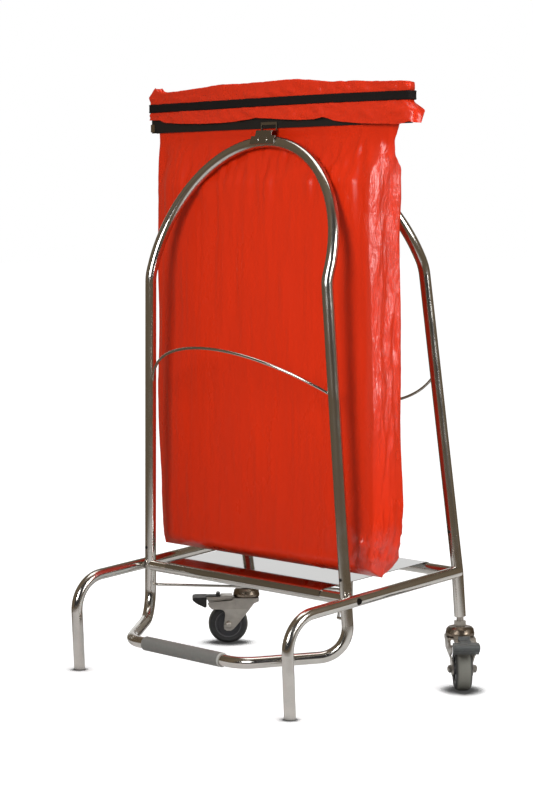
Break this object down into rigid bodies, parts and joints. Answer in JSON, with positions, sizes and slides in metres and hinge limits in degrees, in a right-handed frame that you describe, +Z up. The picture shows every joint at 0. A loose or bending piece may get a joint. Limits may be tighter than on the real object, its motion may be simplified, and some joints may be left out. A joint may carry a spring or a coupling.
{
  "type": "bin bag holder",
  "caption": "Bent-tube stand for one bin bag: hoops hold a red bag's mouth closed between two strips, a foot pedal opens it, castors at the back.",
  "frame": {"origin": "on the floor, below the middle of the object's bounding box", "axes": "+X to the right seen from the front, +Y to the back, +Z up"},
  "size_m": [0.7356, 0.4492, 1.0313],
  "materials": {
    "frame_metal": "polished plating",
    "wire_metal": "polished plating",
    "plated_metal": "zinc plated",
    "tray_metal": "polished sheet",
    "bronze_metal": "satin",
    "bag_film": "glossy film",
    "black_plastic": "matt",
    "grey_rubber": "matt",
    "elastic": "woven",
    "wheel_rubber": "matt",
    "wheel_core": "matt"
  },
  "bodies": {
    "base": {"side_rail_left": "frame_metal", "side_rail_right": "frame_metal", "foot_plugs": "black_plastic", "rear_post_left": "frame_metal", "rear_post_right": "frame_metal", "rear_hoop": "frame_metal", "rear_cross_tube": "frame_metal", "pivot_bolts": "plated_metal", "pivot_washers": "plated_metal", "rear_seam_rivets": "plated_metal", "rear_wire": "wire_metal", "rod_guide": "frame_metal", "tray": "tray_metal", "rear_jaw": "black_plastic", "end_clips": "bronze_metal", "rear_bracket": "frame_metal", "bag": "bag_film", "elastic_strap": "elastic", "post_plugs": "black_plastic", "lock_nuts": "plated_metal", "castor_stem_left": "plated_metal", "castor_stem_right": "plated_metal", "castor_head_left": "plated_metal", "castor_head_right": "plated_metal"},
    "pedal_lever": {"front_hoop": "frame_metal", "pedal_bow": "frame_metal", "pedal_sleeve": "grey_rubber", "pivot_tube": "frame_metal", "pivot_bushes": "black_plastic", "front_seam_rivets": "plated_metal", "front_wire": "wire_metal", "front_bracket": "frame_metal", "front_jaw": "black_plastic"},
    "return_rod": {"return_rod": "wire_metal"},
    "castor_swivel_left": {"castor_fork_left": "plated_metal", "castor_axle_left": "plated_metal", "brake_pin_left": "plated_metal"},
    "castor_wheel_left": {"castor_tyre_left": "wheel_rubber", "castor_hub_left": "wheel_core"},
    "brake_left": {"brake_lever_left": "plated_metal", "brake_tip_left": "black_plastic"},
    "castor_swivel_right": {"castor_fork_right": "plated_metal", "castor_axle_right": "plated_metal", "brake_pin_right": "plated_metal"},
    "castor_wheel_right": {"castor_tyre_right": "wheel_rubber", "castor_hub_right": "wheel_core"},
    "brake_right": {"brake_lever_right": "plated_metal", "brake_tip_right": "black_plastic"}
  },
  "joints": [
    {"name": "pedal", "type": "hinge", "parent": "base", "child": "pedal_lever", "pos_m": [0, -0.0607, 0.17785], "axis": [1, 0, 0], "range_deg": [0, 15], "stiffness_Nm_per_rad": 25, "springref_deg": -6.88, "deforming": ["bag", "elastic_strap", "end_clips"]},
    {"name": "return_rod_pivot", "type": "hinge", "parent": "pedal_lever", "child": "return_rod", "pos_m": [0, -0.05948, 0.14385], "axis": [1, 0, 0], "range_deg": [-15.5, 0.5]},
    {"name": "castor_swivel_left", "type": "hinge", "parent": "base", "child": "castor_swivel_left", "pos_m": [-0.2795, 0.1928, 0.089], "axis": [0, 0, 1], "continuous": true},
    {"name": "castor_roll_left", "type": "hinge", "parent": "castor_swivel_left", "child": "castor_wheel_left", "pos_m": [-0.30186, 0.16587, 0.0375], "axis": [0.7694, -0.6388, 0], "continuous": true},
    {"name": "brake_pivot_left", "type": "hinge", "parent": "castor_swivel_left", "child": "brake_left", "pos_m": [-0.31016, 0.15587, 0.079], "axis": [0.7694, -0.6388, 0], "range_deg": [0, 12]},
    {"name": "castor_swivel_right", "type": "hinge", "parent": "base", "child": "castor_swivel_right", "pos_m": [0.2795, 0.1928, 0.089], "axis": [0, 0, 1], "continuous": true},
    {"name": "castor_roll_right", "type": "hinge", "parent": "castor_swivel_right", "child": "castor_wheel_right", "pos_m": [0.30643, 0.17044, 0.0375], "axis": [0.6388, 0.7694, 0], "continuous": true},
    {"name": "brake_pivot_right", "type": "hinge", "parent": "castor_swivel_right", "child": "brake_right", "pos_m": [0.31643, 0.16214, 0.079], "axis": [0.6388, 0.7694, 0], "range_deg": [0, 12]}
  ],
  "couplings": [
    {"joint": "return_rod_pivot", "follows": "pedal", "ratio": -1}
  ]
}
